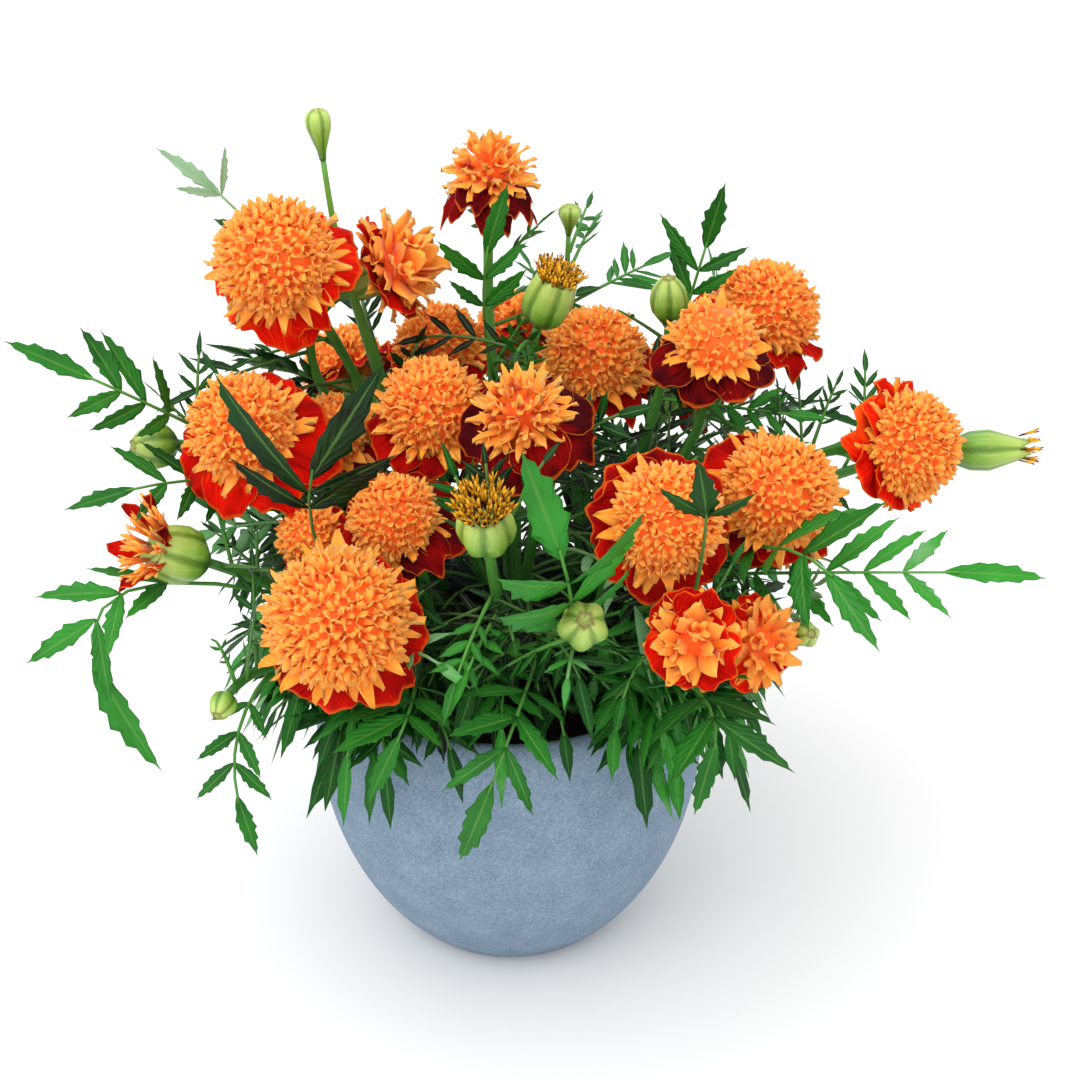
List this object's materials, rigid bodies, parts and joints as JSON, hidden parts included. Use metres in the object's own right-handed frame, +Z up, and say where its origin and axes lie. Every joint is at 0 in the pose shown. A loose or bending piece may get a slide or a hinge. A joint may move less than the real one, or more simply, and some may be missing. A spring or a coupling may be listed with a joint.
{
  "type": "potted french marigold",
  "caption": "Bushy crested marigolds, orange domes over dark red ray petals, with buds and feathered leaves, growing in an egg-shaped blue-grey bowl.",
  "frame": {"origin": "centre of the flat foot that the pot stands on", "axes": "+Z up, +X to the right of the front and along the plant's widest spread, -Y towards the front"},
  "size_m": [0.3376, 0.282, 0.3001],
  "materials": {
    "fibre_clay": "matte, finely speckled blue-grey cast clay, unglazed",
    "potting_mix": "damp crumbly dark brown peat and bark",
    "stem_green": "ribbed, satin fresh green, paler on the calyx cups",
    "leaf_green": "satin deep green blades with a paler midrib",
    "petals": "matte orange crest florets over velvety dark red ray petals with an orange edge",
    "bud_green": "ribbed, satin light yellow-green"
  },
  "bodies": {
    "root": {"pot": "fibre_clay", "soil": "potting_mix", "plant_1_stems": "stem_green", "plant_2_stems": "stem_green", "plant_3_stems": "stem_green", "plant_4_stems": "stem_green", "plant_5_stems": "stem_green", "bloom_01": "petals", "bloom_02": "petals", "bloom_03": "petals", "bloom_04": "petals", "bloom_05": "petals", "bloom_06": "petals", "bloom_07": "petals", "bloom_08": "petals", "bloom_09": "petals", "bloom_10": "petals", "bloom_11": "petals", "bloom_12": "petals", "bloom_13": "petals", "bloom_14": "petals", "bloom_15": "petals", "bloom_16": "petals", "bloom_17": "petals", "bloom_18": "petals", "bloom_19": "petals", "bloom_20": "petals", "bloom_21": "petals", "bloom_22": "petals", "opening_bud": "bud_green", "spent_head_front": "bud_green", "spent_head_back": "bud_green", "seed_head_right": "bud_green", "bud_1": "bud_green", "bud_2": "bud_green", "bud_3": "bud_green", "bud_4": "bud_green", "bud_5": "bud_green", "bud_6": "bud_green", "bud_7": "bud_green", "leaf_left_upper": "leaf_green", "leaf_top_left": "leaf_green", "leaf_left_arching": "leaf_green", "leaf_left_middle": "leaf_green", "leaf_low_left": "leaf_green", "leaf_front_left": "leaf_green", "leaf_centre": "leaf_green", "leaf_front_right": "leaf_green", "leaf_right_broad": "leaf_green", "leaf_right_long": "leaf_green", "leaf_over_rim_right": "leaf_green", "leaf_over_rim_front": "leaf_green", "leaf_over_rim_left": "leaf_green", "leaf_top_right": "leaf_green", "leaf_top_middle": "leaf_green", "leaf_back_left": "leaf_green", "leaf_back": "leaf_green", "leaf_back_right": "leaf_green"}
  },
  "joints": []
}
